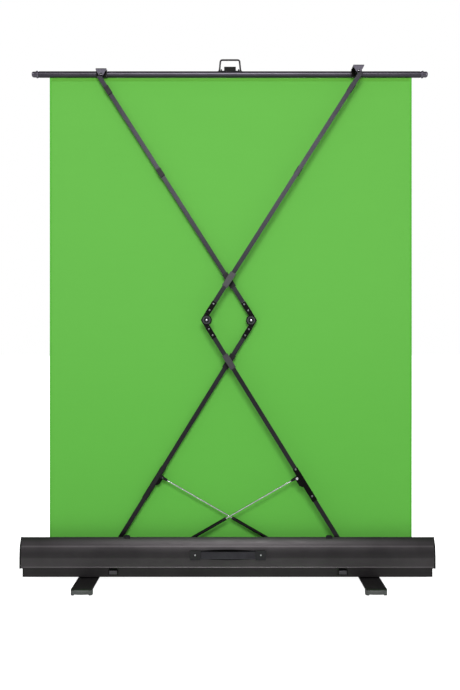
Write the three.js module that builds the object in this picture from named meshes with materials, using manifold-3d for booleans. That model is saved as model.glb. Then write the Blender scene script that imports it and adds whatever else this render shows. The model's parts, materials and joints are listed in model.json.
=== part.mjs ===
// Pull-up backdrop panel: a long floor case with two swivelling feet, a fabric sheet on a
// spring roller, a round top bar, and an X frame of two folding arm pairs with gas struts.
// Millimetres, +Z up, drawn about the middle of the frame's base pins and then moved so that
// the origin is on the floor under the middle of the case.
// +X runs along the case, -Y is the frame side and +Y is the side that the fabric faces.
import * as THREE from "three";
import { mergeVertices } from "three/addons/utils/BufferGeometryUtils.js";
import Module from "manifold-3d";

const wasm = await Module();
wasm.setup();

// ---- driving dimensions ----
const GAP = 0.3;

// frame linkage, measured between pins with the panel pulled up
const BASE_X = 521; // base pins, left and right of the middle
const BASE_Z = 47;
const TOP_Z = 2050; // pins under the top bar
const ELBOW_X = 90; // elbow pins, across the middle from their base pins
const ELBOW_OFFSET = 11.5; // from the elbow pin to a tube's centre line
const BASE_OFFSET = 5; // from the base pin to the lower tube's centre line
const TOP_OFFSET = 11; // from the top pin to the upper tube's centre line
const ARM_WIDTH = 18;
const ARM_DEPTH = 8;
const OUTER_Y = -29; // plane of the arm pair further from the fabric
const INNER_Y = 9; // plane of the arm pair next to the fabric

const LINK_RISE = (TOP_Z - BASE_Z) / 2;
const LINK_RUN = BASE_X + ELBOW_X;
const LINK = Math.hypot(LINK_RISE, LINK_RUN);
const OPEN = Math.atan2(LINK_RISE, LINK_RUN);

// case
const CASE_X = -6; // the case's middle, the bar's and the fabric's lie off the pins' middle
const CASE_BACK = -66;
const CASE_FRONT = 72;
const CASE_BOTTOM = 25;
const COVER_BOTTOM = 61.6;
const COVER_HALF = 821.5;
const BASE_HALF = 812.5;
// each cover in section: a straight foot, a wall that leans in, and a slope up to its ridge
const REAR_COVER = { face: CASE_BACK, lean: 4.5, waist: 103, shoulder: 146, ridge: -40, top: 178.5 };
const FRONT_COVER = { face: CASE_FRONT, lean: -3.5, waist: 96, shoulder: 128, ridge: 52, top: 152 };
const CAP_LENGTH = 6;
const WALL = 2;
const LATCH_X = 456;
const LATCH_HINGE_Z = 38.4;
const HANDLE_X = -4; // the middle of the handle, the latches and the bumpers
const HANDLE_REACH = 150; // from there to its ends
const HANDLE_Z = 114;
const BUMPER_X = 405;

// fabric and bar
const FABRIC_X = 7;
const FABRIC_Y = 30;
const FABRIC_HALF = 743;
const FABRIC_THICK = 1.2;
const BAR_X = 3;
const BAR_Y = 28;
const BAR_Z = 2058;
const BAR_RADIUS = 12.8;
const BAR_HALF = 784;
const BAR_WALL = 1.5;
const BAIL_X = 4;
const BAIL_HALF = 43; // from its middle to a foot of the wire
const BAIL_RISE = 60; // from the bar's middle to the top of the wire

// roller, measured with the spare fabric wound on
const ROLL_RADIUS = 17.5;
const ROLL_Y = FABRIC_Y + FABRIC_THICK / 2 + GAP + ROLL_RADIUS;
const ROLL_Z = 50;
const ROLLER_RADIUS = 15.9;
const ROLLER_HALF = 749;
const AXLE_HALF = 769;
const AXLE_RADIUS = 5;
const BEARING_X = 759;

// feet
const FOOT_X = 559;
const FOOT_HALF = 208;
const FOOT_WIDTH = 82;
const FOOT_HEIGHT = 22;
const FOOT_RUNNER = 12; // width of the pads under its corners
const FOOT_EAVE = 13; // how far its long sides overhang

// gas struts
const STRUT_FOOT_X = 335;
const STRUT_FOOT_Z = 61;
const STRUT_ALONG = 440; // from the base pin to the strut bolt, along the pin line
const STRUT_OFFSET = 22.2; // from the pin line to the strut bolt
const CYLINDER_LENGTH = 372;
const CYLINDER_RADIUS = 6.4;
const ROD_RADIUS = 3;
const OUTER_STRUT_Y = -16.6;
const INNER_STRUT_Y = -3.4;
const STRUT_EYE = 3.5; // half the depth of a strut's end eye

// elbows: how far each knuckle reaches from the pin, and its lobe
const KNUCKLE_LOWER = 76;
const KNUCKLE_UPPER = 79;
const KNUCKLE_RADIUS = 21;

const SIDES = [
  [-1, "left"],
  [1, "right"],
];

// ---- finishes ----
const finish = (color, roughness, metalness) => () =>
  new THREE.MeshStandardMaterial({ color, roughness, metalness });
const ANODISED = finish(0x3a3a44, 0.42, 0.6);
const CASE_METAL = finish(0x2f2f38, 0.45, 0.55);
const BLACK_PLASTIC = finish(0x17171a, 0.55, 0);
const BLACK_STEEL = finish(0x1d1d20, 0.45, 0.7);
const BRIGHT_STEEL = finish(0xb9bcc0, 0.28, 1);
const RUBBER = finish(0x111112, 0.85, 0);
const GREEN_FABRIC = finish(0x64b948, 0.95, 0);

const backdrop = new THREE.Group();
backdrop.name = "collapsible_backdrop_panel";

function add(name, geometry, material) {
  const mesh = new THREE.Mesh(geometry.translate(-CASE_X, 0, 0), material());
  mesh.name = name;
  backdrop.add(mesh);
}

// ---- solids ----
function toSolid(geometry) {
  const bare = geometry.index ? geometry.toNonIndexed() : geometry.clone();
  bare.deleteAttribute("normal");
  bare.deleteAttribute("uv");
  const merged = mergeVertices(bare, 1e-4);
  return new wasm.Manifold(
    new wasm.Mesh({
      numProp: 3,
      vertProperties: new Float32Array(merged.attributes.position.array),
      triVerts: new Uint32Array(merged.index.array),
    }),
  );
}

function toGeometry(solid) {
  const mesh = solid.getMesh();
  const geometry = new THREE.BufferGeometry();
  geometry.setAttribute("position", new THREE.BufferAttribute(mesh.vertProperties, 3));
  geometry.setIndex(new THREE.BufferAttribute(mesh.triVerts, 1));
  geometry.computeVertexNormals();
  return geometry;
}

const join = (first, ...rest) =>
  toGeometry(rest.reduce((solid, other) => solid.add(toSolid(other)), toSolid(first)));
const cut = (first, ...rest) =>
  toGeometry(rest.reduce((solid, other) => solid.subtract(toSolid(other)), toSolid(first)));
const overlap = (first, second) => toGeometry(toSolid(first).intersect(toSolid(second)));

// two ends of a span, the lower one first
const sorted = (p, q) => [Math.min(p, q), Math.max(p, q)];

// a box given by its lowest and highest corners
function block(x0, x1, y0, y1, z0, z1) {
  const geometry = new THREE.BoxGeometry(x1 - x0, y1 - y0, z1 - z0);
  return geometry.translate((x0 + x1) / 2, (y0 + y1) / 2, (z0 + z1) / 2);
}

function outline(points) {
  return new THREE.Shape(points.map(([a, b]) => new THREE.Vector2(a, b)));
}

// an outline in the X-Z plane, between two Y planes
function plate(shape, y0, y1, curveSegments = 12) {
  const geometry = new THREE.ExtrudeGeometry(shape, {
    depth: y1 - y0,
    bevelEnabled: false,
    curveSegments,
  });
  return geometry.rotateX(Math.PI / 2).translate(0, y1, 0);
}

// an outline in the Y-Z plane, between two X planes
function profile(shape, x0, x1, curveSegments = 12) {
  const geometry = new THREE.ExtrudeGeometry(shape, {
    depth: x1 - x0,
    bevelEnabled: false,
    curveSegments,
  });
  return geometry.rotateX(Math.PI / 2).rotateZ(Math.PI / 2).translate(x0, 0, 0);
}

// round bars along each axis
function barX(radius, x0, x1, y, z, sides = 20) {
  const geometry = new THREE.CylinderGeometry(radius, radius, x1 - x0, sides);
  return geometry.rotateZ(Math.PI / 2).translate((x0 + x1) / 2, y, z);
}
function barY(radius, x, y0, y1, z, sides = 20) {
  const geometry = new THREE.CylinderGeometry(radius, radius, y1 - y0, sides);
  return geometry.translate(x, (y0 + y1) / 2, z);
}
function barZ(radius, x, y, z0, z1, sides = 20) {
  const geometry = new THREE.CylinderGeometry(radius, radius, z1 - z0, sides);
  return geometry.rotateX(Math.PI / 2).translate(x, y, (z0 + z1) / 2);
}

// ---- feet ----
// A slab with bowed ends whose top edge is rounded over. It stands on a pad at each corner;
// between its ends it is hollowed from below and its long sides overhang like eaves.
function foot(side, name) {
  const centre = side * FOOT_X;
  const half = FOOT_WIDTH / 2;
  const bow = 5;
  const corner = 7;
  const shoulder = FOOT_HALF - bow;
  const plan = new THREE.Shape();
  plan.moveTo(-half, -shoulder + corner);
  plan.quadraticCurveTo(-half, -shoulder, -half + corner, -shoulder - 1);
  plan.quadraticCurveTo(0, -FOOT_HALF - bow + 1, half - corner, -shoulder - 1);
  plan.quadraticCurveTo(half, -shoulder, half, -shoulder + corner);
  plan.lineTo(half, shoulder - corner);
  plan.quadraticCurveTo(half, shoulder, half - corner, shoulder + 1);
  plan.quadraticCurveTo(0, FOOT_HALF + bow - 1, -half + corner, shoulder + 1);
  plan.quadraticCurveTo(-half, shoulder, -half, shoulder - corner);
  const slab = new THREE.ExtrudeGeometry(plan, {
    depth: FOOT_HEIGHT,
    bevelEnabled: false,
    curveSegments: 6,
  });
  const nose = 9;
  const rounded = new THREE.Shape();
  rounded.moveTo(-FOOT_HALF, 0);
  rounded.lineTo(FOOT_HALF, 0);
  rounded.lineTo(FOOT_HALF, FOOT_HEIGHT - nose);
  rounded.quadraticCurveTo(FOOT_HALF - 1, FOOT_HEIGHT, FOOT_HALF - nose - 4, FOOT_HEIGHT);
  rounded.lineTo(-FOOT_HALF + nose + 4, FOOT_HEIGHT);
  rounded.quadraticCurveTo(-FOOT_HALF + 1, FOOT_HEIGHT, -FOOT_HALF, FOOT_HEIGHT - nose);
  const solid = overlap(slab, profile(rounded, -half - 1, half + 1, 6));
  const inner = half - FOOT_RUNNER;
  const rib = half - FOOT_EAVE;
  const ribInside = rib - 6;
  const arch = block(-inner, inner, -FOOT_HALF - 1, FOOT_HALF + 1, -1, 4);
  const pockets = [-1, 1].map((end) =>
    block(-ribInside, ribInside, ...sorted(end * 30, end * 180), -1, FOOT_HEIGHT - 3.5));
  const eaves = [-1, 1].map((edge) =>
    block(...sorted(edge * rib, edge * (half + 1)), 24 - FOOT_HALF, FOOT_HALF - 24,
      -1, FOOT_HEIGHT - 4.5));
  const pinHole = barZ(9.3, 0, 0, 3, FOOT_HEIGHT + 1, 24);
  add(`foot_${name}`, cut(solid, arch, ...pockets, ...eaves, pinHole).translate(centre, 0, 0), ANODISED);
  const top = CASE_BOTTOM - GAP;
  const pivot = join(barZ(9, 0, 0, 6, top, 24), barZ(16, 0, 0, FOOT_HEIGHT + GAP, top, 24));
  add(`foot_pivot_${name}`, pivot.translate(centre, 0, 0), BRIGHT_STEEL);
}

// ---- case ----
function caseParts() {
  const rear = CASE_BACK + 2.5;
  const front = CASE_FRONT - 2.5;
  const tray = outline([
    [rear, CASE_BOTTOM],
    [front, CASE_BOTTOM],
    [front, COVER_BOTTOM - GAP],
    [front - WALL, COVER_BOTTOM - GAP],
    [front - WALL, CASE_BOTTOM + WALL],
    [rear + WALL, CASE_BOTTOM + WALL],
    [rear + WALL, COVER_BOTTOM - GAP],
    [rear, COVER_BOTTOM - GAP],
  ]);
  add("base_tray", profile(tray, CASE_X - BASE_HALF, CASE_X + BASE_HALF), CASE_METAL);

  for (const [name, cover] of [["rear_cover", REAR_COVER], ["front_cover", FRONT_COVER]]) {
    const span = [CASE_X - COVER_HALF, CASE_X + COVER_HALF];
    add(name, profile(coverOutline(cover), ...span), CASE_METAL);
  }

  // a cap closes each end of the covers, with a step in to the tray's end
  const notch = 112;
  const upperCap = outline([
    [CASE_BACK, COVER_BOTTOM - 3.3],
    [CASE_FRONT, COVER_BOTTOM - 3.3],
    [CASE_FRONT, FRONT_COVER.waist],
    [CASE_FRONT + FRONT_COVER.lean, FRONT_COVER.shoulder],
    [FRONT_COVER.ridge + 2, FRONT_COVER.top],
    [FRONT_COVER.ridge - 2, FRONT_COVER.top],
    [FRONT_COVER.ridge - 7, notch],
    [REAR_COVER.ridge + 7, notch],
    [REAR_COVER.ridge + 2, REAR_COVER.top],
    [REAR_COVER.ridge - 2, REAR_COVER.top],
    [CASE_BACK + REAR_COVER.lean, REAR_COVER.shoulder],
    [CASE_BACK, REAR_COVER.waist],
  ]);
  for (const [side, name] of SIDES) {
    const along = [COVER_HALF + GAP, COVER_HALF + GAP + CAP_LENGTH];
    const tray = [BASE_HALF + GAP, BASE_HALF + GAP + 3];
    const [upper, lower, step] = [along, tray, [tray[0], along[1]]].map((span) =>
      sorted(...span.map((x) => CASE_X + side * x)));
    const cap = join(
      profile(upperCap, ...upper),
      block(...lower, rear, front, CASE_BOTTOM, COVER_BOTTOM - 1),
      block(...step, rear, front, COVER_BOTTOM - 3.3, COVER_BOTTOM - GAP),
    );
    add(`end_cap_${name}`, cap, BLACK_PLASTIC);
  }
}

// one cover's section: its wall, a return at the foot and a rolled edge along the ridge
function coverOutline({ face, lean, waist, shoulder, ridge, top }) {
  const inward = Math.sign(ridge - face);
  const wall = WALL * inward;
  return outline([
    [face, COVER_BOTTOM],
    [face, waist],
    [face + lean, shoulder],
    [ridge - wall, top],
    [ridge, top],
    [ridge, top - 9],
    [ridge - wall, top - 9],
    [ridge - wall, top - 3],
    [face + lean + wall, shoulder - 1],
    [face + wall, waist],
    [face + wall, COVER_BOTTOM + 3],
    [face + 6 * inward, COVER_BOTTOM + 3],
    [face + 6 * inward, COVER_BOTTOM],
  ]);
}

// a latch on the tray under the rear cover's foot: a keeper with a slot that the cover's hook
// enters, and a lever hinged in front of it
function latch(side, name) {
  const x = HANDLE_X + side * LATCH_X;
  const rear = CASE_BACK + 2.5;
  const back = rear - GAP;
  const front = back - 1.8;
  const top = COVER_BOTTOM - 0.6;
  const keeper = cut(
    join(
      block(x - 19, x + 19, front, back, 33, top),
      block(x - 19, x - 16, front - 4, back, 34, top),
      block(x + 16, x + 19, front - 4, back, 34, top),
    ),
    block(x - 14.5, x + 14.5, front - 1, back + 1, 52.5, top - 1.5),
  );
  add(`latch_keeper_${name}`, keeper, BLACK_STEEL);
  const lever = outline([
    [front - 1.2, LATCH_HINGE_Z - 1.6],
    [front - 3.6, LATCH_HINGE_Z - 1.6],
    [front - 4.4, LATCH_HINGE_Z + 8],
    [front - 3.8, LATCH_HINGE_Z + 13],
    [front - 0.4, LATCH_HINGE_Z + 13],
    [front - 0.4, LATCH_HINGE_Z + 11],
    [front - 1.6, LATCH_HINGE_Z + 8],
  ]);
  add(`latch_tab_${name}`, profile(lever, x - 15.2, x + 15.2), ANODISED);
}

// ---- carry handle ----
// two blocks shaped to the rear cover's wall, and a bowed strap between them
function carryHandle() {
  const x = HANDLE_X;
  const face = CASE_BACK - GAP;
  const wall = outline([
    [face, 0],
    [face, REAR_COVER.waist],
    [face + REAR_COVER.lean, REAR_COVER.shoulder],
    [0, REAR_COVER.shoulder],
    [0, 0],
  ]);
  for (const [side, name] of SIDES) {
    const outer = x + side * HANDLE_REACH;
    const inner = x + side * (HANDLE_REACH - 41);
    const [x0, x1] = sorted(outer, inner);
    const [slot0, slot1] = sorted(inner - side, inner + side * 13);
    const end = cut(
      block(x0, x1, face - 11, face + REAR_COVER.lean, HANDLE_Z - 18, HANDLE_Z + 18),
      profile(wall, x0 - 1, x1 + 1),
      block(slot0, slot1, face - 8, face - 2, HANDLE_Z - 15, HANDLE_Z + 15),
    );
    const screw = barY(4, x + side * 130, face - 12, face - 10, HANDLE_Z + 2, 16);
    add(`handle_end_${name}`, join(end, screw), BLACK_PLASTIC);
  }
  const half = HANDLE_REACH - 30;
  const bow = 12;
  const near = face - 7.4;
  const far = face - 2.6;
  const grip = new THREE.Shape();
  grip.moveTo(x - half, near);
  grip.lineTo(x - half + 8, near);
  grip.quadraticCurveTo(x, near - bow, x + half - 8, near);
  grip.lineTo(x + half, near);
  grip.lineTo(x + half, far);
  grip.lineTo(x + half - 8, far);
  grip.quadraticCurveTo(x, far - bow, x - half + 8, far);
  grip.lineTo(x - half, far);
  const strap = new THREE.ExtrudeGeometry(grip, {
    depth: 29,
    bevelEnabled: false,
    curveSegments: 10,
  });
  add("handle_grip", strap.translate(0, 0, HANDLE_Z - 14.5), RUBBER);
}

// ---- fabric roller ----
function roller() {
  const wall = 1.2;
  const plug = 12;
  const alongFabric = (radius, half, sides) =>
    barX(radius, FABRIC_X - half, FABRIC_X + half, ROLL_Y, ROLL_Z, sides);
  const ends = SIDES.map(([side]) => {
    const span = sorted(FABRIC_X + side * (ROLLER_HALF - 1), FABRIC_X + side * AXLE_HALF);
    return barX(AXLE_RADIUS, ...span, ROLL_Y, ROLL_Z, 16);
  });
  const tube = cut(
    join(alongFabric(ROLLER_RADIUS, ROLLER_HALF, 28), ...ends),
    alongFabric(ROLLER_RADIUS - wall, ROLLER_HALF - plug, 28),
    alongFabric(1.5, AXLE_HALF + 1, 12),
  );
  add("roller_tube", tube, ANODISED);
  for (const [side, name] of SIDES) {
    const x0 = FABRIC_X + (side > 0 ? BEARING_X : -BEARING_X - 8);
    const bearing = cut(
      block(x0, x0 + 8, ROLL_Y - 14, ROLL_Y + 14, CASE_BOTTOM + WALL + GAP, ROLL_Z + 14),
      barX(AXLE_RADIUS + GAP, x0 - 1, x0 + 9, ROLL_Y, ROLL_Z, 16),
    );
    add(`roller_bearing_${name}`, bearing, BLACK_PLASTIC);
  }
}

function fabric() {
  const top = BAR_Z - BAR_RADIUS - GAP;
  const half = FABRIC_THICK / 2;
  const sheet = block(FABRIC_X - FABRIC_HALF, FABRIC_X + FABRIC_HALF,
    FABRIC_Y - half, FABRIC_Y + half, ROLL_Z, top);
  add("fabric_sheet", sheet, GREEN_FABRIC);
}

// ---- top bar ----
function topBar() {
  const tube = cut(
    barX(BAR_RADIUS, BAR_X - BAR_HALF, BAR_X + BAR_HALF, BAR_Y, BAR_Z, 32),
    barX(BAR_RADIUS - BAR_WALL, BAR_X - BAR_HALF - 1, BAR_X + BAR_HALF + 1, BAR_Y, BAR_Z, 32),
  );
  add("top_bar_tube", tube, ANODISED);
  for (const [side, name] of SIDES) {
    const points = [
      [0, 0],
      [14.6, 0],
      [14.6, 8.7],
      [11.8, 8.7],
      [11.8, 22],
      [8.5, 26.7],
      [0, 26.7],
    ].map(([r, along]) => new THREE.Vector2(r, along));
    const plug = new THREE.LatheGeometry(points, 28);
    plug.rotateZ((-side * Math.PI) / 2).translate(BAR_X + side * (BAR_HALF + GAP), BAR_Y, BAR_Z);
    add(`bar_end_${name}`, plug, BLACK_PLASTIC);
  }
}

// the saddle that hangs an arm pair's upper end from the bar
function saddle(side, name, armY) {
  const x = side * BASE_X;
  const frontFace = armY - ARM_DEPTH / 2 - GAP;
  const plateBack = frontFace;
  const plateFront = frontFace - 2.2;
  const low = BAR_Z - 12;
  const high = BAR_Z + 14;
  const barTop = BAR_RADIUS + GAP;
  const face = outline([
    [x - 22, high],
    [x - 22, high - 3],
    [x - 8.5, low],
    [x + 8.5, low],
    [x + 22, high - 3],
    [x + 22, high],
  ]);
  // over the bar: a strip bent to its round top, with a cheek down the frame side
  const strip = new THREE.Shape();
  strip.moveTo(plateFront, BAR_Z + 14);
  strip.lineTo(plateFront, BAR_Z + 16.2);
  strip.lineTo(BAR_Y, BAR_Z + 16.2);
  strip.absarc(BAR_Y, BAR_Z, 16.2, Math.PI / 2, -Math.PI / 6, true);
  strip.absarc(BAR_Y, BAR_Z, barTop, -Math.PI / 6, Math.PI, false);
  strip.lineTo(BAR_Y - barTop, BAR_Z - 14);
  strip.lineTo(BAR_Y - barTop - 1.6, BAR_Z - 14);
  strip.lineTo(BAR_Y - barTop - 1.6, BAR_Z + 14);
  const body = join(
    plate(face, plateFront, plateBack),
    profile(strip, x - 22, x + 22, 10),
  );
  // where the arms are far enough from the bar, a second cheek stands behind them
  const armBack = armY + ARM_DEPTH / 2 + GAP;
  const twoCheeks = armBack < BAR_Y - barTop - 3;
  const cheek = block(x - 12, x + 12, armBack, armBack + 2.2, BAR_Z - 14, BAR_Z + 15);
  const hanger = twoCheeks ? join(body, cheek) : body;
  const bore = barY(TOP_BORE, x, plateFront - 5, BAR_Y - BAR_RADIUS, TOP_Z, 16);
  add(`bar_bracket_${name}`, cut(hanger, bore), BLACK_STEEL);
  const pinBack = twoCheeks ? armBack + 3.7 : BAR_Y - barTop - 0.2;
  const pin = join(
    barY(3, x, plateFront - 1, pinBack, TOP_Z, 16),
    barY(5, x, plateFront - 2, plateFront - GAP, TOP_Z, 16),
  );
  add(`bracket_pin_${name}`, pin, BRIGHT_STEEL);
}

// pull handle: a wire bail on a small base plate
function bail() {
  const pivotZ = BAR_Z + 16.4;
  const x = BAIL_X;
  const wire = 3;
  const top = BAR_Z + BAIL_RISE;
  const path = new THREE.CurvePath();
  const corners = [
    [x - BAIL_HALF, pivotZ],
    [x - BAIL_HALF + 4.5, top],
    [x + BAIL_HALF - 4.5, top],
    [x + BAIL_HALF, pivotZ],
  ].map(([a, b]) => new THREE.Vector3(a, BAR_Y, b));
  const round = 7;
  const into = (from, to, d) => from.clone().add(to.clone().sub(from).setLength(d));
  path.add(new THREE.LineCurve3(corners[0], into(corners[1], corners[0], round)));
  path.add(new THREE.QuadraticBezierCurve3(
    into(corners[1], corners[0], round), corners[1], into(corners[1], corners[2], round)));
  path.add(new THREE.LineCurve3(
    into(corners[1], corners[2], round), into(corners[2], corners[1], round)));
  path.add(new THREE.QuadraticBezierCurve3(
    into(corners[2], corners[1], round), corners[2], into(corners[2], corners[3], round)));
  path.add(new THREE.LineCurve3(into(corners[2], corners[3], round), corners[3]));
  const section = new THREE.Shape();
  section.absarc(0, 0, wire, 0, Math.PI * 2);
  const loop = new THREE.ExtrudeGeometry(section, {
    steps: 44,
    extrudePath: path,
    curveSegments: 5,
  });
  const feet = [-1, 1].map((side) =>
    barX(wire, x + side * BAIL_HALF - 3.5, x + side * BAIL_HALF + 3.5, BAR_Y, pivotZ, 12));
  add("bail_wire", join(loop, ...feet), BLACK_STEEL);

  // base plate with a round ear inside each foot of the wire
  const plateLow = BAR_Z + 10;
  const base = cut(
    join(
      block(x - 49, x + 49, BAR_Y - 9, BAR_Y + 9, plateLow, BAR_Z + 12.8),
      ...[-1, 1].map((side) =>
        join(
          block(x + side * 35.5 - 3, x + side * 35.5 + 3, BAR_Y - 5, BAR_Y + 5, BAR_Z + 12, pivotZ),
          barX(5, x + side * 35.5 - 3, x + side * 35.5 + 3, BAR_Y, pivotZ, 20),
        )),
      block(x - 24, x + 24, BAR_Y - 6, BAR_Y + 2, BAR_Z + 12, BAR_Z + 30),
    ),
    barX(BAR_RADIUS + GAP, x - 60, x + 60, BAR_Y, BAR_Z, 32),
  );
  add("bail_plate", base, BLACK_STEEL);
}

// ---- arms ----
// An arm's own frame: u runs along the pin line from its first pin, and v is square to it,
// towards the tube's side at the elbow. The frame turns [u, v] into [x, z].
function armFrame(origin, angle, turn) {
  const u = [Math.cos(angle), Math.sin(angle)];
  const v = [-Math.sin(angle) * turn, Math.cos(angle) * turn];
  return ([a, b]) => [
    origin[0] + a * u[0] + b * v[0],
    origin[1] + a * u[1] + b * v[1],
  ];
}

// where the tubes' centre lines lie: v as a function of u
const lowerAxis = (a) => BASE_OFFSET + ((ELBOW_OFFSET - BASE_OFFSET) * a) / LINK;
const upperAxis = (a) => ELBOW_OFFSET - ((TOP_OFFSET + ELBOW_OFFSET) * a) / LINK;

// one folding pair: side is the sign of its base pin's X, and y is its plane
function makePair(side, y) {
  const base = [side * BASE_X, BASE_Z];
  const elbow = [-side * ELBOW_X, BASE_Z + LINK_RISE];
  const tilt = side * (Math.PI / 2 - OPEN);
  return {
    side,
    y,
    low: y - ARM_DEPTH / 2,
    high: y + ARM_DEPTH / 2,
    lower: { at: armFrame(base, Math.PI / 2 + tilt, side), axis: lowerAxis },
    upper: { at: armFrame(elbow, Math.PI / 2 - tilt, side), axis: upperAxis },
  };
}

// a straight stretch beside a tube's centre line, from v0 to v1 off it, as an outline
const stretch = ({ at, axis }, a0, a1, v0, v1) => outline([
  at([a0, axis(a0) + v0]),
  at([a1, axis(a1) + v0]),
  at([a1, axis(a1) + v1]),
  at([a0, axis(a0) + v1]),
]);

const HALF = ARM_WIDTH / 2;
const ARM_WALL = 1.3;
const PIN_BORE = 4.3;
const TOP_BORE = 3.3;

function boreAt({ at }, a, b, radius, y0, y1, sides = 16) {
  const [x, z] = at([a, b]);
  return barY(radius, x, y0, y1, z, sides);
}

// each arm is a flat tube, solid only round the pin at its far end from the elbow
function tubes(pair, name) {
  const { lower, upper, low, high } = pair;
  const inside = HALF - ARM_WALL;
  const hollow = (arm, a0, a1) =>
    plate(stretch(arm, a0, a1, -inside, inside), low + ARM_WALL, high - ARM_WALL);
  const lowerTube = join(
    cut(
      plate(stretch(lower, 6, LINK - KNUCKLE_LOWER, -HALF, HALF), low, high),
      hollow(lower, 20, LINK - KNUCKLE_LOWER + 1),
    ),
    boreAt(lower, 0, 0, 11, low, high, 24),
  );
  add(`${name}_lower_arm`, cut(lowerTube, boreAt(lower, 0, 0, PIN_BORE, low - 1, high + 1)),
    ANODISED);
  const upperTube = join(
    cut(
      plate(stretch(upper, KNUCKLE_UPPER, LINK + 2, -HALF, HALF), low, high),
      hollow(upper, KNUCKLE_UPPER - 1, LINK - 20),
    ),
    boreAt(upper, LINK, 0, 9, low, high, 24),
  );
  add(`${name}_upper_arm`, cut(upperTube, boreAt(upper, LINK, 0, TOP_BORE, low - 1, high + 1)),
    ANODISED);
}

// one half of an elbow: a full-depth root by the tube, and a half-depth lobe round the pin
function knuckle(arm, reach, pin, y, front, rivets) {
  const toward = Math.sign(reach - pin);
  const root = pin + toward * 25.5;
  const low = y - ARM_DEPTH / 2;
  const high = y + ARM_DEPTH / 2;
  const lobeLow = front ? low : y + GAP / 2;
  const lobeHigh = front ? y - GAP / 2 : high;
  const edge = arm.axis(pin) + HALF;
  const corner = pin - toward * 12.6;
  const flank = outline([
    arm.at([pin, 0]),
    arm.at([root + toward, arm.axis(root) - HALF]),
    arm.at([root + toward, edge]),
    arm.at([corner, edge]),
  ]);
  const body = join(
    plate(stretch(arm, Math.min(root, reach), Math.max(root, reach), -HALF, HALF), low, high),
    boreAt(arm, pin, 0, KNUCKLE_RADIUS, lobeLow, lobeHigh, 36),
    plate(flank, lobeLow, lobeHigh),
    ...rivets.map((along) => {
      const a = pin + toward * along;
      return boreAt(arm, a, arm.axis(a), 4, low - 1.2, low + 1, 12);
    }),
  );
  return cut(body, boreAt(arm, pin, 0, PIN_BORE, low - 2, high + 2));
}

function elbow(pair, name) {
  const { lower, upper, y, low, high } = pair;
  add(`${name}_lower_knuckle`,
    knuckle(lower, LINK - KNUCKLE_LOWER + GAP, LINK, y, true, [36, 65]), BLACK_STEEL);
  add(`${name}_upper_knuckle`,
    knuckle(upper, KNUCKLE_UPPER - GAP, 0, y, false, [40, 70]), BLACK_STEEL);
  const pin = join(
    boreAt(lower, LINK, 0, 4, low - 3.4, high + 1.8, 20),
    boreAt(lower, LINK, 0, 16.6, low - GAP - 1.5, low - GAP, 32),
    boreAt(lower, LINK, 0, 10.5, low - GAP - 2.8, low - GAP - 1, 28),
    boreAt(lower, LINK, 0, 8, high + GAP, high + 2.2, 6),
  );
  add(`${name}_elbow_pin`, pin, BRIGHT_STEEL);
}

// a piece made lying along X about its own middle, set on a tube's centre line
function setOnTube(geometry, arm, a, y) {
  const [x0, z0] = arm.at([a - 10, arm.axis(a - 10)]);
  const [x1, z1] = arm.at([a + 10, arm.axis(a + 10)]);
  const [x, z] = arm.at([a, arm.axis(a)]);
  return geometry.rotateY(-Math.atan2(z1 - z0, x1 - x0)).translate(x, y, z);
}

// where a tube's centre line crosses the middle plane, with the panel up
function crossing(arm) {
  const [x0] = arm.at([0, arm.axis(0)]);
  const [x1] = arm.at([LINK, arm.axis(LINK)]);
  return (LINK * x0) / (x0 - x1);
}

// sleeves ride on the tubes where the pairs cross, and a stud from the outer one
// reaches to the inner one
function sleeves(pair, name) {
  const length = 66;
  const wall = 1.3;
  const outerV = HALF + GAP + 3;
  const outerY = ARM_DEPTH / 2 + GAP + wall;
  for (const [arm, part] of [[pair.lower, "lower"], [pair.upper, "upper"]]) {
    const shell = cut(
      block(-length / 2, length / 2, -outerY, outerY, -outerV, outerV),
      block(-length, length, -ARM_DEPTH / 2 - GAP, ARM_DEPTH / 2 + GAP, -HALF - GAP, HALF + GAP),
    );
    const body = pair.side > 0
      ? join(shell, barY(3, 0, outerY - 0.5, INNER_Y - OUTER_Y - outerY - GAP, 0, 14))
      : shell;
    add(`${name}_${part}_sleeve`, setOnTube(body, arm, crossing(arm), pair.y), BLACK_PLASTIC);
  }
}

// stop clips on an upper tube, on the face towards the other pair
function clips(pair, name) {
  const inward = pair.side;
  const face = (ARM_DEPTH / 2 + GAP) * inward;
  [[706, "low"], [1104, "high"]].forEach(([a, part]) => {
    const flat = sorted(face, face + 3.2 * inward);
    const hook = sorted(-inward, face + inward);
    const body = cut(
      join(
        block(-19, 19, ...flat, -HALF - 1.7, HALF + 1.7),
        block(-14, 14, ...hook, HALF + GAP, HALF + 1.7),
        block(-14, 14, ...hook, -HALF - 1.7, -HALF - GAP),
      ),
      barY(2.5, 8, -12, 12, 0, 12),
    );
    add(`${name}_${part}_clip`, setOnTube(body, pair.upper, a, pair.y), BLACK_PLASTIC);
  });
}

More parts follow.
